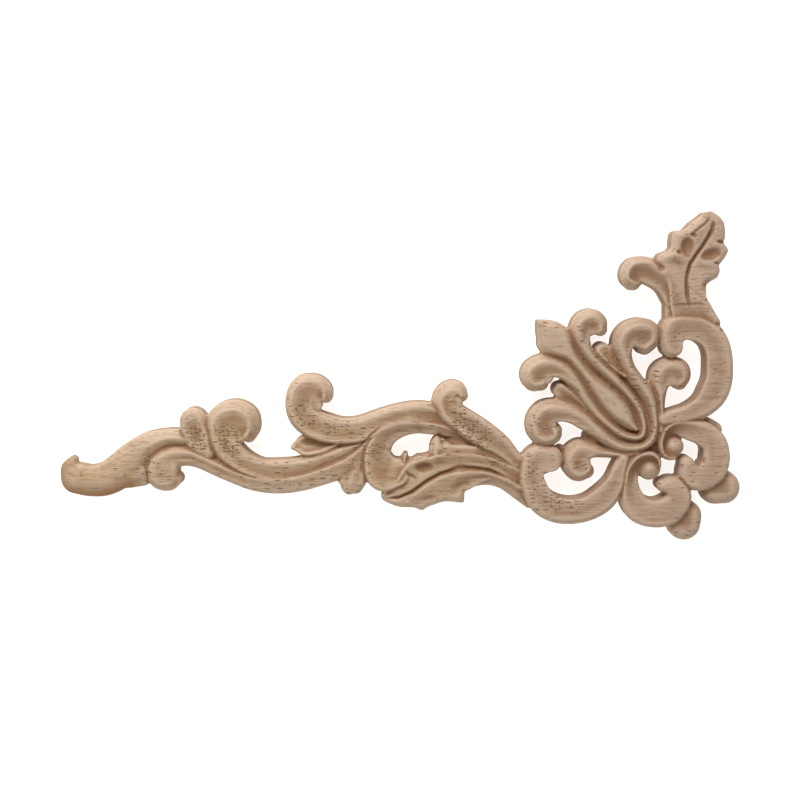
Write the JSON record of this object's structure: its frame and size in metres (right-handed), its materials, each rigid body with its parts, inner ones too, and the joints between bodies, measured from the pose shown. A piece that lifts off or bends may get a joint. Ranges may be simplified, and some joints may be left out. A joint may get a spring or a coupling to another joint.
{
  "type": "carved wood applique",
  "caption": "Pierced carved relief of pale wood: a lily spray of scrolls with a leaf above it and a long scrolled arm, with a flat back for gluing on",
  "frame": {"origin": "on the flat back, under the root of the lily where the petals and scrolls meet", "axes": "+X towards the corner buds and away from the long arm's tip, +Y towards the tip of the upper leaf, +Z out of the carved face"},
  "size_m": [0.2018, 0.0977, 0.0092],
  "materials": {
    "pale_wood": "bare, sanded"
  },
  "bodies": {
    "root": {"carved_applique": "pale_wood"}
  },
  "joints": []
}
